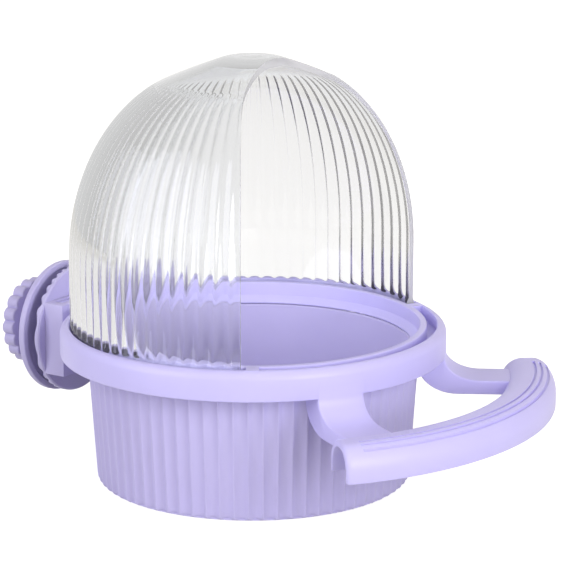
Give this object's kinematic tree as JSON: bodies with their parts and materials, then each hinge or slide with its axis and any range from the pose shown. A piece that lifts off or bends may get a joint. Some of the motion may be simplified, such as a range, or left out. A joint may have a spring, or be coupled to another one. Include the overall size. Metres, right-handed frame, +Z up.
{
  "type": "birdcage feeder",
  "caption": "Clamp-on birdcage feeder: fluted seed cup in a ring with a curved perch, clear fluted hood with an arched mouth, lift-off tongue socket and a knob-tightened wire clamp.",
  "frame": {"origin": "on the clamp bolt's axis, in the plane of the mount plate's grooved clamping face, where the cage wires lie", "axes": "+Z up, +Y back along the bolt from the feeder through the cage wires to the knob, -Y towards the perch, X across"},
  "size_m": [0.1044, 0.1598, 0.1149],
  "materials": {
    "cup_plastic": "moulded lavender polypropylene, satin",
    "ring_plastic": "moulded lavender polypropylene, satin",
    "clamp_plastic": "moulded lavender polypropylene, satin",
    "clear_plastic": "clear polystyrene, polished",
    "plated_steel": "zinc plated, satin"
  },
  "bodies": {
    "mount": {"mount_plate": "clamp_plastic", "clamp_bolt": "plated_steel"},
    "feeder": {"seed_cup": "cup_plastic", "perch_ring": "ring_plastic"},
    "hood": {"hood": "clear_plastic"},
    "dish": {"clamp_dish": "clamp_plastic"},
    "knob": {"knob": "clamp_plastic", "knob_nut": "plated_steel"}
  },
  "joints": [
    {"name": "feeder_lift", "type": "slide", "parent": "mount", "child": "feeder", "axis": [0, 0, 1], "range_m": [0, 0.024]},
    {"name": "hood_lift", "type": "slide", "parent": "feeder", "child": "hood", "axis": [0, 0, 1], "range_m": [0, 0.03]},
    {"name": "dish_slide", "type": "slide", "parent": "mount", "child": "dish", "axis": [0, 1, 0], "range_m": [-0.002, 0.0042]},
    {"name": "knob_turn", "type": "hinge", "parent": "dish", "child": "knob", "pos_m": [0, 0.012, 0], "axis": [0, 1, 0], "range_deg": [-720, 1512]}
  ],
  "couplings": [
    {"joint": "dish_slide", "follows": "knob_turn", "m_per_rad": 0.00015915}
  ]
}
